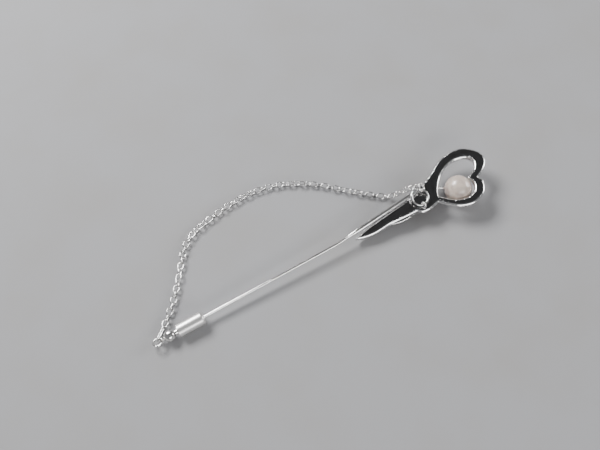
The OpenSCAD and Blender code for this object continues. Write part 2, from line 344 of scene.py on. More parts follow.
def new_group(name, inputs, outputs):
    """An empty shader node group with named sockets, and its two end nodes."""
    tree = bpy.data.node_groups.new(name, "ShaderNodeTree")
    for label, kind in inputs:
        tree.interface.new_socket(label, in_out="INPUT", socket_type=kind)
    for label, kind in outputs:
        tree.interface.new_socket(label, in_out="OUTPUT", socket_type=kind)
    return tree, tree.nodes.new("NodeGroupInput"), tree.nodes.new("NodeGroupOutput")


def add_node(tree, kind, links=(), **values):
    """A node with its options set and its sockets filled: links are (socket name, source socket)."""
    node = tree.nodes.new(kind)
    for key, value in values.items():
        setattr(node, key, value)
    for label, source in links:
        tree.links.new(source, node.inputs[label])
    return node


def set_inputs(node, **values):
    """Sets a node's sockets by name, with _ for each space."""
    for label, value in values.items():
        node.inputs[label.replace("_", " ")].default_value = value


def mixed(tree, share, first, second):
    """Mixes two colours, each a socket or a plain value, and returns the result's socket."""
    mix = add_node(tree, "ShaderNodeMix", data_type="RGBA")
    tree.links.new(share, mix.inputs["Factor"])
    for socket, colour in ((mix.inputs[MIX_A], first), (mix.inputs[MIX_B], second)):
        if isinstance(colour, tuple):
            socket.default_value = colour
        else:
            tree.links.new(colour, socket)
    return mix.outputs[MIX_RESULT]


def polish_marks_group():
    """Hand polish: soft cloudy smudges and fine hairlines, as roughness and height."""
    tree, given, out = new_group(
        "polish_marks",
        (("Vector", "NodeSocketVector"), ("Smudge Size", "NodeSocketFloat"),
         ("Hairline Size", "NodeSocketFloat"), ("Least Roughness", "NodeSocketFloat"),
         ("Most Roughness", "NodeSocketFloat")),
        (("Roughness", "NodeSocketFloat"), ("Height", "NodeSocketFloat")),
    )
    source = given.outputs
    smudge = add_node(
        tree, "ShaderNodeTexNoise", [("Vector", source["Vector"]), ("Scale", source["Smudge Size"])]
    )
    set_inputs(smudge, Detail=3)
    rough = add_node(
        tree, "ShaderNodeMapRange",
        [("Value", smudge.outputs["Fac"]), ("To Min", source["Least Roughness"]),
         ("To Max", source["Most Roughness"])],
    )
    set_inputs(rough, From_Min=0.35, From_Max=0.7)
    stretch = add_node(tree, "ShaderNodeMapping", [("Vector", source["Vector"])])
    set_inputs(stretch, Rotation=(0.3, 0.2, 0.6), Scale=(0.12, 1, 1))
    hairs = add_node(
        tree, "ShaderNodeTexNoise",
        [("Vector", stretch.outputs["Vector"]), ("Scale", source["Hairline Size"])],
    )
    set_inputs(hairs, Detail=2)
    tree.links.new(rough.outputs["Result"], out.inputs["Roughness"])
    tree.links.new(hairs.outputs["Fac"], out.inputs["Height"])
    return tree


def tarnish_group():
    """Cloudy change from clean metal to a slightly warmer, duller one."""
    tree, given, out = new_group(
        "tarnish",
        (("Vector", "NodeSocketVector"), ("Clean", "NodeSocketColor"), ("Dull", "NodeSocketColor"),
         ("Size", "NodeSocketFloat")),
        (("Color", "NodeSocketColor"),),
    )
    source = given.outputs
    clouds = add_node(tree, "ShaderNodeTexNoise", [("Vector", source["Vector"]), ("Scale", source["Size"])])
    set_inputs(clouds, Detail=4)
    share = add_node(tree, "ShaderNodeMapRange", [("Value", clouds.outputs["Fac"])])
    set_inputs(share, From_Min=0.42, From_Max=0.72)
    colour = mixed(tree, share.outputs["Result"], source["Clean"], source["Dull"])
    tree.links.new(colour, out.inputs["Color"])
    return tree


def bright_rim_group():
    """The rim colour where the piece's own rim attribute says, and the surface colour elsewhere; on the head
    that surface colour is a painted dark reflection.
    """
    tree, given, out = new_group(
        "bright_rim",
        (("Surface", "NodeSocketColor"), ("Rim", "NodeSocketColor")),
        (("Color", "NodeSocketColor"),),
    )
    mask = add_node(tree, "ShaderNodeAttribute", attribute_name="rim", attribute_type="GEOMETRY")
    colour = mixed(tree, mask.outputs["Fac"], given.outputs["Surface"], given.outputs["Rim"])
    tree.links.new(colour, out.inputs["Color"])
    return tree


def group_node(tree, name, links=(), **values):
    """Places the named node group, builds it the first time, and fills its sockets."""
    makers = {"polish_marks": polish_marks_group, "tarnish": tarnish_group, "bright_rim": bright_rim_group}
    made = bpy.data.node_groups.get(name) or makers[name]()
    node = tree.nodes.new("ShaderNodeGroup")
    node.node_tree = made
    set_inputs(node, **values)
    for label, source in links:
        tree.links.new(source, node.inputs[label])
    return node


def new_material(name):
    """A material with a Principled shader, and its object coordinates."""
    material = bpy.data.materials.new(name)
    material.use_nodes = True
    tree = material.node_tree
    place = tree.nodes.new("ShaderNodeTexCoord").outputs["Object"]
    return material, tree, tree.nodes["Principled BSDF"], place


def bump(tree, shader, height, distance, strength):
    """Joins a height to the shader's normal."""
    node = add_node(tree, "ShaderNodeBump", [("Height", height)])
    set_inputs(node, Distance=distance, Strength=strength)
    tree.links.new(node.outputs["Normal"], shader.inputs["Normal"])


def polished_metal(name, clean, dull, roughness, rim=None, hairline=0.3):
    """Polished metal with smudges, hairlines and a little tarnish; rim is the colour of bright edges."""
    known = bpy.data.materials.get(name)
    if known:
        return known
    material, tree, shader, place = new_material(name)
    set_inputs(shader, Metallic=1)
    marks = group_node(
        tree, "polish_marks", [("Vector", place)], Smudge_Size=420, Hairline_Size=5200,
        Least_Roughness=roughness[0], Most_Roughness=roughness[1],
    )
    colour = group_node(
        tree, "tarnish", [("Vector", place)], Clean=clean, Dull=dull, Size=650
    ).outputs["Color"]
    if rim:
        colour = group_node(tree, "bright_rim", [("Surface", colour)], Rim=rim).outputs["Color"]
    tree.links.new(colour, shader.inputs["Base Color"])
    tree.links.new(marks.outputs["Roughness"], shader.inputs["Roughness"])
    bump(tree, shader, marks.outputs["Height"], 0.004 * MM, hairline)
    return material


def dimmed(colour, share):
    """The colour, made darker and a touch warmer."""
    return (colour[0] * share, colour[1] * share * 0.985, colour[2] * share * 0.96, 1)


def bright_silver(scene):
    """Mirror-polished silver of the rings, the chain and the knob."""
    clean = tuple(scene.pin_finish.bright)
    return polished_metal("bright_silver", clean, dimmed(clean, 0.88), (0.07, 0.16))


def needle_silver(scene):
    """The needle: drawn wire, polished along its length."""
    clean = tuple(scene.pin_finish.bright)
    return polished_metal("needle_silver", clean, dimmed(clean, 0.92), (0.12, 0.2), hairline=0.5)


def mirror_back(scene):
    """The head: on its flats a painted dark reflection of dark surroundings, on its rims silver."""
    painted_dark_reflection = tuple(scene.pin_finish.painted_dark_reflection)
    rim = tuple(scene.pin_finish.bright)
    return polished_metal("mirror_back", painted_dark_reflection, dimmed(painted_dark_reflection, 0.85), (0.05, 0.11), rim=rim, hairline=0.2)


def clutch_steel(scene):
    """Hardened steel of the pieces inside the clutch."""
    clean = tuple(scene.pin_finish.steel)
    return polished_metal("clutch_steel", clean, dimmed(clean, 0.75), (0.25, 0.4), hairline=0.6)


def barrel_satin(scene):
    """Satin silver with fine lines round the barrel from the lathe."""
    name = "barrel_satin"
    known = bpy.data.materials.get(name)
    if known:
        return known
    material, tree, shader, place = new_material(name)
    clean = tuple(scene.pin_finish.satin)
    set_inputs(shader, Metallic=1)
    along = add_node(tree, "ShaderNodeMapping", [("Vector", place)])
    set_inputs(along, Rotation=(0, SHAFT_RISE, 0), Scale=(1, 0.004, 0.004))
    lines = add_node(tree, "ShaderNodeTexNoise", [("Vector", along.outputs["Vector"])])
    set_inputs(lines, Scale=9000, Detail=3)
    marks = group_node(
        tree, "polish_marks", [("Vector", place)], Smudge_Size=500, Hairline_Size=4200,
        Least_Roughness=0.34, Most_Roughness=0.46,
    )
    colour = group_node(
        tree, "tarnish", [("Vector", place)], Clean=clean, Dull=dimmed(clean, 0.85), Size=480
    )
    rim = group_node(
        tree, "bright_rim", [("Surface", colour.outputs["Color"])], Rim=tuple(scene.pin_finish.bright)
    )
    tree.links.new(rim.outputs["Color"], shader.inputs["Base Color"])
    tree.links.new(marks.outputs["Roughness"], shader.inputs["Roughness"])
    bump(tree, shader, lines.outputs["Fac"], 0.006 * MM, 0.5)
    return material


def nacre(scene):
    """The pearl: a soft cream body, a pinkish drift and growth lines under a clear lustre."""
    name = "nacre"
    known = bpy.data.materials.get(name)
    if known:
        return known
    material, tree, shader, place = new_material(name)
    middle = add_node(tree, "ShaderNodeMapping", [("Vector", place)])
    set_inputs(middle, Location=tuple(-PEARL_AT * MM))
    drift = add_node(tree, "ShaderNodeTexNoise", [("Vector", middle.outputs["Vector"])])
    set_inputs(drift, Scale=300, Detail=3, Distortion=0.8)
    share = add_node(tree, "ShaderNodeMapRange", [("Value", drift.outputs["Fac"])])
    set_inputs(share, From_Min=0.4, From_Max=0.68, To_Max=0.75)
    body, overtone = tuple(scene.pin_finish.nacre), tuple(scene.pin_finish.overtone)
    tree.links.new(mixed(tree, share.outputs["Result"], body, overtone), shader.inputs["Base Color"])
    growth = add_node(tree, "ShaderNodeTexNoise", [("Vector", middle.outputs["Vector"])])
    set_inputs(growth, Scale=1400, Detail=5)
    rough = add_node(tree, "ShaderNodeMapRange", [("Value", growth.outputs["Fac"])])
    set_inputs(rough, To_Min=0.24, To_Max=0.42)
    tree.links.new(rough.outputs["Result"], shader.inputs["Roughness"])
    bump(tree, shader, growth.outputs["Fac"], 0.01 * MM, 0.25)
    set_inputs(
        shader, Coat_Weight=0.8, Coat_Roughness=0.24, Specular_IOR_Level=0.6, Subsurface_Weight=0.2,
        Subsurface_Radius=(0.0012, 0.0009, 0.0008),
    )
    return material


def table_top(scene):
    """The plain floor: matt, with a barely seen mottle."""
    material, tree, shader, place = new_material("table_top")
    colour = tuple(scene.pin_finish.table)
    grain = group_node(
        tree, "tarnish", [("Vector", place)], Clean=colour, Dull=dimmed(colour, 0.97), Size=55
    )
    tree.links.new(grain.outputs["Color"], shader.inputs["Base Color"])
    set_inputs(shader, Roughness=0.75, Specular_IOR_Level=0.2)
    return material


# ======== Pieces ========

def finished(bm, name, place, material, body, slot, *nodes):
    """Puts a shape in its place as a piece that rides on a body and stands for CAD nodes."""
    bmesh.ops.transform(bm, matrix=place, verts=bm.verts)
    bmesh.ops.recalc_face_normals(bm, faces=bm.faces)
    for edge in bm.edges:
        edge.smooth = edge.calc_face_angle(0) < SHARP_EDGE
    mesh = bpy.data.meshes.new(name)
    bm.to_mesh(mesh)
    bm.free()
    mesh.shade_smooth()
    mesh.materials.append(material)
    piece = bpy.data.objects.new(name, mesh)
    bpy.context.scene.collection.objects.link(piece)
    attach(piece, body)
    if nodes:
        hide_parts(*nodes)
    return piece


def outline(bm, scallop_2, height, steps, clear_of_pearl):
    """The head's outline at a height, as two flat faces that meet at the hole's tip and cusp."""
    pearl = head_place(bpy.context.scene).inverted() @ (PEARL_AT * MM)

    def row(points):
        verts = []
        for p in smooth_line(points, steps):
            off = p - pearl
            off.z = 0
            if off.length < clear_of_pearl:
                off = off.normalized() * clear_of_pearl
            spot = Vector((pearl.x + off.x, pearl.y + off.y, height))
            if not verts or (spot - verts[-1].co).length > 0.07 * MM:
                verts.append(bm.verts.new(spot))
        return verts

    tail = row(SCALLOP_1) + row(scallop_2) + row(SCALLOP_3)
    lower, upper = row(LOWER_LOBE), row(UPPER_LOBE)
    hole_upper, hole_lower = row(HOLE_UPPER), row(HOLE_LOWER)
    return [
        bm.faces.new(upper + tail + lower[:1] + hole_upper + hole_lower[:1]),
        bm.faces.new(lower + upper[:1] + hole_lower + hole_upper[:1]),
    ]


def rim_tree(lines):
    """A search tree of points set closely along some lines in the XY plane."""
    spots = []
    for line in lines:
        for here, there in zip(line, line[1:]):
            count = max(1, math.ceil((there - here).length / (0.012 * MM)))
            spots += [here.lerp(there, k / count) for k in range(count)]
        spots.append(line[-1])
    tree = KDTree(len(spots))
    for i, spot in enumerate(spots):
        tree.insert(spot * FLAT, i)
    tree.balance()
    return tree


def distance_to(tree, points):
    """Distance in the XY plane from each point to the nearest one in a search tree."""
    return np.array([tree.find(p * FLAT)[2] for p in points])


def without_bridges(line):
    """Cuts a face's closed line where it crosses the metal between the outline and the hole."""
    spans = []
    part = [line[0]]
    for here, there in zip(line, line[1:] + line[:1]):
        if (there - here).length > 1.2 * MM:
            spans.append(part)
            part = []
        part.append(there)
    spans.append(part)
    return [span for span in spans if len(span) > 1]


def rim_lines(faces):
    """The outline and the hole of a flat region, as lines of points."""
    return sum((without_bridges([v.co.copy() for v in f.verts]) for f in faces), [])


def curved_down(bm, height, tree, width, drop):
    """Lowers the points of a flat near its rim along a smooth curve."""
    flat = [v for v in bm.verts if abs(v.co.z - height) < 1e-7]
    for v, away in zip(flat, distance_to(tree, [v.co for v in flat])):
        v.co.z -= drop * max(1 - away / width, 0) ** 2


def set_rim(piece, values):
    """Stores at each point of a piece how much it takes the rim colour instead of its surface colour."""
    rim = piece.data.attributes.new("rim", "FLOAT", "POINT")
    rim.data.foreach_set("value", values)


def mark_rims(piece, place, flat_height):
    """Marks every point that isn't on the flat at a height, in the piece's own place, as rim."""
    back = place.inverted()
    depths = [flat_height - (back @ v.co).z for v in piece.data.vertices]
    set_rim(piece, [min(max(depth / (0.02 * MM), 0), 1) for depth in depths])


def refined(bm, faces, tree, finest, coarsest, growth=0.35, rounds=9):
    """Divides a flat region into even triangles that are smaller towards its rim."""
    rim = {v for f in faces for e in f.edges if any(n not in faces for n in e.link_faces) for v in e.verts}
    region = set(bmesh.ops.triangulate(bm, faces=faces)["faces"])
    for step in range(rounds):
        inner = [e for e in bm.edges if e.link_faces and all(f in region for f in e.link_faces)]
        middles = [(e.verts[0].co + e.verts[1].co) / 2 for e in inner]
        wanted = np.clip(finest + growth * distance_to(tree, middles), finest, coarsest)
        long_edges = [e for e, w in zip(inner, wanted) if e.calc_length() > 1.35 * w]
        if not long_edges:
            break
        old = set(bm.faces) - region
        bmesh.ops.subdivide_edges(bm, edges=long_edges, cuts=1)
        bmesh.ops.triangulate(bm, faces=[f for f in bm.faces if f not in old])
        region = {f for f in bm.faces if f not in old}
        inner = [e for e in bm.edges if e.link_faces and all(f in region for f in e.link_faces)]
        bmesh.ops.beautify_fill(bm, faces=list(region), edges=inner, method="ANGLE")
        region = {f for f in bm.faces if f not in old}
        if step > 3:
            loose = {v for f in region for v in f.verts} - rim
            loose = [v for v in loose if tree.find(v.co * FLAT)[2] > 2 * finest]
            bmesh.ops.smooth_vert(
                bm, verts=loose, factor=0.3, use_axis_x=True, use_axis_y=True, use_axis_z=True
            )
    return region


class PIN_OT_heart(bpy.types.Operator):
    """Build the heart and its tail: a domed front shell and a flat back plate"""

    bl_idname = "stick_pin.heart"
    bl_label = "Heart"

    def back_plate(self, scene):
        """The flat plate, with its rims rounded over."""
        sizes, place = scene.pin_head, head_place(scene)
        bm = bmesh.new()
        under = outline(bm, SCALLOP_2_PLATE, -sizes.plate_t, 14, 2.97 * MM)
        tree = rim_tree(rim_lines(under))
        top = raised(bm, under, sizes.plate_t)
        refined(bm, top, tree, 0.06 * MM, 0.9 * MM, 0.5)
        curved_down(bm, 0, tree, sizes.edge_w, sizes.edge_h)
        piece = finished(
            bm, "heart_back_plate", place, mirror_back(scene), "pin", "dark_polish", "back_plate"
        )
        # The rims take the silver; the flat back keeps the painted dark reflection colour.
        mark_rims(piece, place, 0)

    def front_shell(self, scene):
        """The shell under the plate: upright rims, and a front that curves down from them."""
        sizes, place = scene.pin_head, head_place(scene)
        top_height = -sizes.plate_t - 0.005 * MM
        rim_height = 0.45 * MM
        groove_w, groove_depth, groove_fade = 0.22 * MM, 0.16 * MM, 0.5 * MM
        depth = sizes.shell_t - 0.005 * MM - rim_height
        level = top_height - rim_height
        bm = bmesh.new()
        top = outline(bm, SCALLOP_2_SHELL, top_height, 14, 3.4 * MM)
        tree = rim_tree(rim_lines(top))
        front = raised(bm, top, -rim_height)
        refined(bm, front, tree, 0.1 * MM, 0.5 * MM)
        refined(bm, top, tree, 0.08 * MM, 1.2 * MM, 0.8)
        curved_down(bm, top_height, tree, 0.2 * MM, 0.12 * MM)
        low = [v for v in bm.verts if abs(v.co.z - level) < 1e-7]
        points = [v.co.copy() for v in low]
        away = distance_to(tree, points)
        share = 1 - np.minimum(away / sizes.dome_w, 1)
        grooves = rim_tree([smooth_line(g, 12) for g in FEATHER_GROOVES])
        groove = np.exp(-((distance_to(grooves, points) / groove_w) ** 2))
        groove = groove * np.minimum(away / groove_fade, 1)
        drops = depth * np.sqrt(1 - share**2) - groove_depth * groove
        for v, drop in zip(low, drops):
            v.co.z -= max(drop, 0)
        piece = finished(
            bm, "heart_front_shell", place, mirror_back(scene), "pin", "dark_polish", "front_shell"
        )
        # The whole shell is three parts silver to one part painted dark reflection.
        set_rim(piece, [0.75] * len(piece.data.vertices))

    def execute(self, context):
        self.back_plate(context.scene)
        self.front_shell(context.scene)
        return {"FINISHED"}


class PIN_OT_pearl(bpy.types.Operator):
    """Build the half-drilled pearl and the peg that holds it"""

    bl_idname = "stick_pin.pearl"
    bl_label = "Pearl"

    def execute(self, context):
        scene = context.scene
        sizes = scene.pin_head
        radius, peg_r = sizes.pearl_d / 2 / MM, sizes.post_d / 2 / MM
        place = Matrix.Translation(PEARL_AT * MM) @ Matrix.Rotation(math.radians(146), 4, "Z")
        mouth = math.degrees(math.asin((peg_r + 0.06) / radius))
        bm = bmesh.new()
        profile = [(1.6, 0), (1.6, peg_r + 0.02), (radius - 0.08, peg_r + 0.02)]
        profile += arc(0, 0, radius, mouth, 180, 64)[:-1] + [(-radius, 0)]
        turned(bm, profile, 96, closed=False)
        for v in bm.verts:
            if v.co.length > 0.9 * radius * MM:
                v.co *= 1 - 0.012 * (1 + noise.noise(v.co / (2.6 * MM) + Vector((3.1, 0.7, 5.2))))
        finished(bm, "pearl_bead", place, nacre(scene), "pin", "pearl", "pearl")
        bm = bmesh.new()
        profile = [
            (1.7, 0), (1.7, peg_r - 0.05), (1.76, peg_r), (4.32, peg_r), (4.45, peg_r + 0.03),
            (4.55, peg_r + 0.1), (4.62, peg_r + 0.2), (4.8, peg_r + 0.2), (4.8, 0),
        ]
        turned(bm, profile, 32, closed=False)
        finished(bm, "pearl_peg", place, bright_silver(scene), "pin", "silver_polish", "pearl_post")
        return {"FINISHED"}


class PIN_OT_needle(bpy.types.Operator):
    """Build the needle, and the solder under its root"""

    bl_idname = "stick_pin.needle"
    bl_label = "Needle"

    def stations(self, sizes):
        """Places, directions and radii from the point to the end of the root."""
        bend = BEND_AT * MM
        shaft = needle_turn() @ Vector((-1, 0, 0))
        root_place = Matrix.Rotation(ROOT_TURN, 4, "Z") @ Matrix.Rotation(-ROOT_RISE, 4, "Y")
        root = root_place @ Vector((1, 0, 0))
        thin, thick = sizes.needle_d / 2, sizes.root_d / 2
        shaft_profile = (
            (39.8, 0.03 * MM), (39.7, 0.055 * MM), (38.45, thin * 0.975), (38.3, thin), (38.1, thin),
            (30, thin), (20, thin), (10, thin), (2, thin), (0.9, thin),
        )
        taper = [
            (2 + 4.5 * k / 8, thin + (thick - thin) * (0.5 - 0.5 * math.cos(math.pi * k / 8)))
            for k in range(9)
        ]
        root_profile = (
            (0.9, thin), *taper, (10, thick), (16, thick), (22.1, thick), (22.2, thick),
            (22.33, thick * 0.96), (22.43, thick * 0.86), (22.5, thick * 0.7),
        )
        found = [(bend + shaft * d * MM, -shaft, r) for d, r in shaft_profile]
        curve = interpolate_bezier(
            bend + shaft * 0.9 * MM, bend + shaft * 0.3 * MM,
            bend + root * 0.3 * MM, bend + root * 0.9 * MM, 7,
        )
        found += [(p, (-shaft).lerp(root, k / 6), thin) for k, p in enumerate(curve)][1:-1]
        return found + [(bend + root * d * MM, root, r) for d, r in root_profile]

    def execute(self, context):
        scene = context.scene
        bm = bmesh.new()
        wire_run(bm, self.stations(scene.pin_wire))
        finished(
            bm, "needle_wire", Matrix.Identity(4), needle_silver(scene), "pin", "needle_polish", "needle"
        )
        bm = bmesh.new()
        fillet = [
            (-0.05, 0), (-0.05, 1), (0.02, 1), (0.04, 0.9), (0.09, 0.8), (0.18, 0.7), (0.3, 0.64),
            (0.42, 0.6), (0.42, 0),
        ]
        turned(bm, fillet, 48, closed=False)
        seat = Matrix.Translation(SOLDER_AT * MM) @ Matrix.Rotation(ROOT_TURN, 4, "Z")
        seat = seat @ Matrix.Diagonal((1.5, 0.62, 1, 1)) @ Matrix.Rotation(math.radians(-90), 4, "Y")
        finished(
            bm, "needle_solder_seat", head_place(scene) @ seat, bright_silver(scene), "pin", "silver_polish",
            "needle_solder",
        )
        return {"FINISHED"}


class PIN_OT_neck_rings(bpy.types.Operator):
    """Build the soldered loop, the large jump ring and the small jump ring at the neck"""

    bl_idname = "stick_pin.neck_rings"
    bl_label = "Neck Rings"

    def execute(self, context):
        scene = context.scene
        sizes = scene.pin_wire
        silver = bright_silver(scene)
        bm = bmesh.new()
        loop_r, loop_wire = 0.62 * MM, 0.36 * MM
        wire_arc(bm, loop_r, loop_wire, math.radians(-57), math.radians(294), 40)
        upright = Matrix.Rotation(math.radians(90), 4, "Z") @ Matrix.Rotation(math.radians(90), 4, "X")
        loop = head_place(scene) @ Matrix.Translation(EYELET_AT * MM) @ upright
        finished(bm, "chain_loop", loop, silver, "pin", "silver_polish", "chain_eyelet")
        bm = bmesh.new()
        jump_ring(bm, sizes.neck_r, sizes.neck_wire, 60)
        place = Matrix.Translation(NECK_RING_AT * MM) @ Matrix.Rotation(NECK_RING_TILT, 4, "X")
        finished(bm, "neck_jump_ring", place, silver, "neck_rings", "silver_polish", "neck_ring")
        bm = bmesh.new()
        jump_ring(bm, sizes.small_r, sizes.small_wire, 120, 56)
        turn = Matrix.Rotation(math.radians(45), 4, "Z") @ Matrix.Rotation(math.radians(45), 4, "X")
        place = Matrix.Translation(CHAIN_RING_AT * MM) @ turn
        finished(bm, "small_jump_ring", place, silver, "neck_rings", "silver_polish", "chain_ring")
        return {"FINISHED"}


def looked_up(i, table):
    """The value at i in a table of (number, value), straight between its rows."""
    return float(np.interp(i, [row[0] for row in table], [row[1] for row in table]))


def link_turn(i):
    """The turn that lays +X along link i."""
    heading = Matrix.Rotation(math.radians(looked_up(i, HEADINGS)), 4, "Z")
    return heading @ Matrix.Rotation(math.radians(-looked_up(i, SLOPES)), 4, "Y")


class PIN_OT_chain(bpy.types.Operator):
    """Build the cable chain, link by link, and its long end link"""

    bl_idname = "stick_pin.chain"
    bl_label = "Chain"

    def add_link(self, bm, length_, sizes, place):
        """One link in its place on the chain, added to the links already there."""
        link = bmesh.new()
        wire_link(link, length_, sizes.link_w, sizes.chain_wire)
        bmesh.ops.transform(link, matrix=place, verts=link.verts)
        mesh = bpy.data.meshes.new("link")
        link.to_mesh(mesh)
        link.free()
        bm.from_mesh(mesh)
        bpy.data.meshes.remove(mesh)

    def execute(self, context):
        scene = context.scene
        sizes = scene.pin_wire
        silver = bright_silver(scene)
        spare = 2 * sizes.chain_wire + 0.02 * MM
        joint = CHAIN_START * MM
        for stretch in range(STRETCHES):
            bm = bmesh.new()
            for i in range(stretch * LINKS_PER_STRETCH, (stretch + 1) * LINKS_PER_STRETCH):
                turn = link_turn(i)
                way = turn @ Vector((sizes.chain_pitch, 0, 0))
                roll = math.radians(90 * ((i + 1) % 2) + 20 * math.sin(math.radians(37 * i)))
                place = Matrix.Translation(joint + way / 2) @ turn @ Matrix.Rotation(roll, 4, "X")
                self.add_link(bm, sizes.chain_pitch + spare, sizes, place)
                joint = joint + way
            finished(
                bm, f"cable_links_{stretch + 1:02d}", Matrix.Identity(4), silver, f"chain_{stretch // 2 + 1}",
                "silver_polish", f"chain_stretch_{stretch + 1:02d}",
            )
        turn = link_turn(STRETCHES * LINKS_PER_STRETCH)
        middle = joint + turn @ Vector((sizes.end_reach / 2, 0, 0))
        bm = bmesh.new()
        wire_link(bm, sizes.end_reach + spare, sizes.link_w, sizes.chain_wire, 16, 16)
        place = Matrix.Translation(middle) @ turn @ Matrix.Rotation(math.radians(90), 4, "X")
        finished(bm, "long_end_link", place, silver, "end_link", "silver_polish", "end_link")
        return {"FINISHED"}


class PIN_OT_barrel(bpy.types.Operator):
    """Build the clutch's barrel and the cap that closes it"""

    bl_idname = "stick_pin.barrel"
    bl_label = "Barrel"

    def execute(self, context):
        scene = context.scene
        sizes = scene.pin_clutch
        out, end, bore = sizes.barrel_d / 2 / MM, sizes.barrel_length / MM, sizes.bore_r / MM
        nose_r, nose_t, hole_r = 0.7, 0.35, 0.45
        bm = bmesh.new()
        profile = [(-0.05, hole_r), (0, hole_r + 0.05)]
        profile += arc(-nose_r, out - nose_r, nose_r, 0, 90, 12)
        profile += arc(0.09 - end, out - 0.09, 0.09, 90, 180, 5)
        profile += [(-end, bore + 0.03), (-end + 0.03, bore), (-nose_t, bore), (-nose_t, hole_r)]
        turned(bm, profile, 96)
        piece = finished(
            bm, "clutch_barrel", clutch_place(), barrel_satin(scene), "barrel", "barrel_satin", "barrel"
        )
        back = clutch_place().inverted()
        places = [back @ v.co for v in piece.data.vertices]
        set_rim(piece, [float(p.x < (0.1 - end) * MM) for p in places])
        bm = bmesh.new()
        turned(bm, [(-end, 0.7), (-end, bore - 0.01), (0.4 - end, bore - 0.01), (0.4 - end, 0.7)], 72)
        soften(bm, 0.04 * MM, 3)
        finished(
            bm, "clutch_end_cap", clutch_place(), clutch_steel(scene), "barrel", "clutch_steel", "end_cap"
        )
        return {"FINISHED"}


class PIN_OT_grip(bpy.types.Operator):
    """Build the pieces that grip the needle: the wedge sleeve, the balls, the spring, and finish the cage"""

    bl_idname = "stick_pin.grip"
    bl_label = "Grip"

    def execute(self, context):
        scene = context.scene
        steel = clutch_steel(scene)
        place = clutch_place()
        front, end, cone_r, slope = -0.38, -3, 0.75, 0.151
        bm = bmesh.new()
        turned(bm, [(front, cone_r), (front, 1.26), (end, 1.26), (end, cone_r + slope * (front - end))], 72)
        soften(bm, 0.04 * MM, 3)
        finished(bm, "grip_wedge_sleeve", place, steel, "wedge_sleeve", "clutch_steel", "wedge_sleeve")
        ball_r, orbit = 0.29, 0.65
        cone_at_ball = orbit + (ball_r + 0.01) / math.cos(math.atan(slope)) + 0.005
        ball_x = front - (cone_at_ball - cone_r) / slope
        bm = bmesh.new()
        for degrees in (90, 210, 330):
            seat = Matrix.Rotation(math.radians(degrees), 4, "X")
            seat = seat @ Matrix.Translation((ball_x * MM, 0, orbit * MM))
            bmesh.ops.create_icosphere(bm, subdivisions=4, radius=ball_r * MM, matrix=seat)
        finished(bm, "grip_balls", place, steel, "clutch_core", "clutch_steel", "gripping_balls")
        bm = bmesh.new()
        turns, steps, coil_r, wire = 4, 28, 0.96, 0.2
        first, last = -3.92, -5.68
        section = Matrix.Translation((first * MM, 0, coil_r * MM)) @ Matrix.Rotation(math.radians(90), 4, "X")
        made = bmesh.ops.create_circle(bm, cap_ends=True, segments=12, radius=wire / 2 * MM, matrix=section)
        geom = list({g for v in made["verts"] for g in (v, *v.link_edges, *v.link_faces)})
        bmesh.ops.spin(
            bm, geom=geom, cent=(0, 0, 0), axis=(1, 0, 0), dvec=((last - first) * MM / (turns * steps), 0, 0),
            angle=turns * FULL_TURN, steps=turns * steps,
        )
        finished(bm, "grip_spring", place, steel, "clutch_core", "clutch_steel", "clutch_spring")
        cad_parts["ball_cage"].data.materials.clear()
        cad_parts["ball_cage"].data.materials.append(bright_silver(scene))
        return {"FINISHED"}


class PIN_OT_knob(bpy.types.Operator):
    """Build the grooved pull knob, its eye and the jump ring that holds the chain"""

    bl_idname = "stick_pin.knob"
    bl_label = "Knob"

    def execute(self, context):
        scene = context.scene
        sizes = scene.pin_clutch
        silver = bright_silver(scene)
        radius, stem = sizes.knob_d / 2 / MM, sizes.stem_r / MM
        stem_end, knob_x, groove_r, groove_shift = -7.35, -8.05, 0.13, 0.25
        eye_r = 0.56 * MM
        at_groove = math.degrees(math.acos(groove_shift / radius))
        lip = math.degrees(groove_r / radius)
        mouth = math.degrees(math.asin((stem + 0.01) / radius))
        bm = bmesh.new()
        profile = [(stem_end, 0), (stem_end, stem + 0.01)]
        profile += arc(knob_x, 0, radius, mouth, at_groove - lip, 14)
        ring_x, ring_r = knob_x + groove_shift, math.sqrt(radius**2 - groove_shift**2)
        profile += arc(ring_x, ring_r, groove_r, at_groove - 80, at_groove - 280, 8)
        profile += arc(knob_x, 0, radius, at_groove + lip, 180, 22)[:-1] + [(knob_x - radius, 0)]
        turned(bm, profile, 72, closed=False)
        finished(bm, "pull_knob_ball", clutch_place(), silver, "clutch_core", "silver_polish", "pull_knob")
        eye_x = knob_x - radius - 0.42
        bm = bmesh.new()
        wire_arc(bm, eye_r, sizes.eye_wire, math.radians(38), math.radians(284), 40)
        upright = Matrix.Translation((eye_x * MM, 0, 0)) @ Matrix.Rotation(math.radians(90), 4, "X")
        finished(
            bm, "knob_eye", clutch_place() @ upright, silver, "clutch_core", "silver_polish", "knob_eyelet"
        )
        bm = bmesh.new()
        jump_ring(bm, sizes.ring_r, sizes.ring_wire, 250, 56)
        hang = Matrix.Translation(((eye_x - 1.12) * MM, 0, -0.05 * MM))
        hang = hang @ Matrix.Rotation(CLUTCH_RING_TILT, 4, "X")
        finished(
            bm, "clutch_jump_ring", clutch_place() @ hang, silver, "clutch_ring", "silver_polish",
            "clutch_ring",
        )
        return {"FINISHED"}


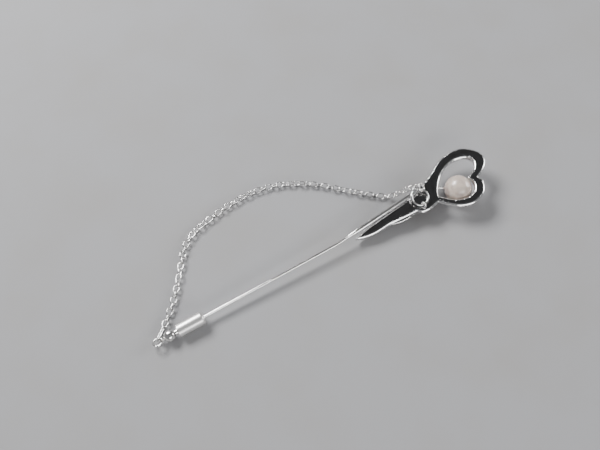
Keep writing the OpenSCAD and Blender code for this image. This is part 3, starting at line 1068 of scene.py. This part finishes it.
class PIN_OT_stage(bpy.types.Operator):
    """Build the plain floor, the soft lights and the camera"""

    bl_idname = "stick_pin.stage"
    bl_label = "Stage"

    def softbox(self, name, place, aim, size, power):
        """A large soft light that faces a point."""
        data = bpy.data.lights.new(name, "AREA")
        data.shape = "RECTANGLE"
        data.size, data.size_y = size
        data.energy = power
        light = bpy.data.objects.new(name, data)
        light.location = place
        light.rotation_euler = (aim - place).to_track_quat("-Z", "Y").to_euler()
        bpy.context.scene.collection.objects.link(light)

    def surroundings(self, scene):
        """An even room with one dim patch of ceiling, which the head's back mirrors."""
        world = bpy.data.worlds.new("studio")
        scene.world = world
        world.use_nodes = True
        tree = world.node_tree
        way = tree.nodes.new("ShaderNodeTexCoord").outputs["Generated"]
        near = add_node(tree, "ShaderNodeVectorMath", operation="DOT_PRODUCT")
        tree.links.new(way, near.inputs[0])
        near.inputs[1].default_value = Vector((0.21, 0.31, 0.93)).normalized()
        share = add_node(
            tree, "ShaderNodeMapRange", [("Value", near.outputs["Value"])], interpolation_type="SMOOTHSTEP"
        )
        set_inputs(share, From_Min=0.9, From_Max=0.97)
        room, patch = (0.62, 0.625, 0.635, 1), (0.3, 0.3, 0.305, 1)
        colour = mixed(tree, share.outputs["Result"], room, patch)
        tree.links.new(colour, tree.nodes["Background"].inputs["Color"])
        tree.nodes["Background"].inputs["Strength"].default_value = 0.36

    def execute(self, context):
        scene = context.scene
        low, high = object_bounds()
        middle = (low + high) / 2
        bm = bmesh.new()
        bmesh.ops.create_grid(bm, x_segments=24, y_segments=24, size=0.6)
        floor_mesh = bpy.data.meshes.new("table")
        bm.to_mesh(floor_mesh)
        bm.free()
        floor_mesh.materials.append(table_top(scene))
        floor = bpy.data.objects.new("table", floor_mesh)
        floor.location = (middle.x, middle.y, min(low.z, 0))
        scene.collection.objects.link(floor)
        floor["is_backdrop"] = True
        self.surroundings(scene)
        target = Vector((0, 0, 0))
        self.softbox("key_softbox", Vector((-0.12, 0.36, 0.34)), target, (0.28, 0.18), 2.9)
        self.softbox("side_softbox", Vector((0.42, -0.08, 0.16)), target, (0.2, 0.16), 0.8)
        self.softbox("front_softbox", Vector((-0.02, -0.4, 0.2)), target, (0.36, 0.12), 0.7)
        level = math.cos(CAMERA_TILT)
        back = Vector(
            (-math.sin(CAMERA_HEADING) * level, -math.cos(CAMERA_HEADING) * level, math.sin(CAMERA_TILT))
        )
        aim = Vector((-2.1, 1.6, 0)) * MM
        data = bpy.data.cameras.new("camera")
        data.sensor_width = 36
        data.lens = 37.2
        data.clip_start = 0.005
        camera = bpy.data.objects.new("camera", data)
        camera.location = aim + back * CAMERA_DISTANCE * MM
        camera.rotation_euler = (-back).to_track_quat("-Z", "Y").to_euler()
        scene.collection.objects.link(camera)
        scene.camera = camera
        scene.view_settings.look = "AgX - Medium High Contrast"
        return {"FINISHED"}


OPERATORS = (
    PIN_OT_heart, PIN_OT_pearl, PIN_OT_needle, PIN_OT_neck_rings, PIN_OT_chain, PIN_OT_barrel,
    PIN_OT_grip, PIN_OT_knob, PIN_OT_stage,
)


class PIN_PT_pieces(bpy.types.Panel):
    """Lists the pin's pieces, its sizes and its colours"""

    bl_idname = "PIN_PT_pieces"
    bl_label = "Stick Pin"
    bl_space_type = "VIEW_3D"
    bl_region_type = "UI"
    bl_category = "Stick Pin"

    def draw(self, context):
        for operator in OPERATORS:
            self.layout.operator(operator.bl_idname)
        for name, group in GROUPS.items():
            box = self.layout.box()
            box.label(text=group.__doc__)
            for key in group.__annotations__:
                box.prop(getattr(context.scene, name), key)


def register():
    for cls in (*GROUPS.values(), *OPERATORS, PIN_PT_pieces):
        bpy.utils.register_class(cls)
    for name, group in GROUPS.items():
        setattr(bpy.types.Scene, name, PointerProperty(type=group))


def unregister():
    for name in GROUPS:
        delattr(bpy.types.Scene, name)
    for cls in (PIN_PT_pieces, *reversed(OPERATORS), *reversed(GROUPS.values())):
        bpy.utils.unregister_class(cls)


def main():
    """Builds every piece."""
    register()
    for operator in OPERATORS:
        group, name = operator.bl_idname.split(".")
        getattr(getattr(bpy.ops, group), name)()


if __name__ == "__main__":
    main()
